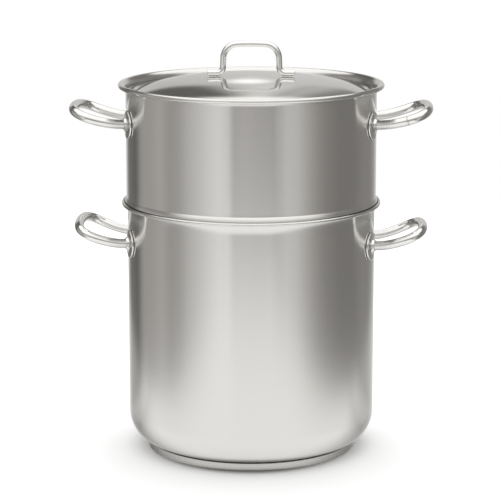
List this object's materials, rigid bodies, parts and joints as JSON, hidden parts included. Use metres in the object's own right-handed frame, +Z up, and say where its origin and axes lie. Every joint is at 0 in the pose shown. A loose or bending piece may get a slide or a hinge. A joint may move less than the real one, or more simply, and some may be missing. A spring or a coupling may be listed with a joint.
{
  "type": "couscous pot",
  "caption": "Tall stock pot with a perforated steamer seated in its mouth and a domed lid in the steamer's flared lip, with tube side handles and a bent bar lid handle.",
  "frame": {"origin": "centre of the base's underside, on the vessels' common axis", "axes": "+Z up along the common axis, the side handles lie along X, -Y is the front seen in the picture"},
  "size_m": [0.4662, 0.342, 0.5313],
  "materials": {
    "satin_steel": "satin brushed stainless steel",
    "polished_steel": "polished stainless steel",
    "aluminium": "plain, inside the base"
  },
  "bodies": {
    "pot": {"pot_body": "satin_steel", "base_heat_disc": "aluminium", "base_capsule": "polished_steel", "pot_handle_left": "polished_steel", "pot_handle_right": "polished_steel", "pot_rosette_left_front": "polished_steel", "pot_rosette_left_back": "polished_steel", "pot_rosette_right_front": "polished_steel", "pot_rosette_right_back": "polished_steel"},
    "steamer": {"steamer_body": "satin_steel", "steamer_handle_left": "polished_steel", "steamer_handle_right": "polished_steel", "steamer_rosette_left_front": "polished_steel", "steamer_rosette_left_back": "polished_steel", "steamer_rosette_right_front": "polished_steel", "steamer_rosette_right_back": "polished_steel"},
    "lid": {"lid_dome": "polished_steel", "lid_handle": "polished_steel"}
  },
  "joints": [
    {"name": "steamer_lift", "type": "slide", "parent": "pot", "child": "steamer", "axis": [0, 0, 1], "range_m": [0, 0.12]},
    {"name": "lid_lift", "type": "slide", "parent": "steamer", "child": "lid", "axis": [0, 0, 1], "range_m": [0, 0.1]}
  ]
}
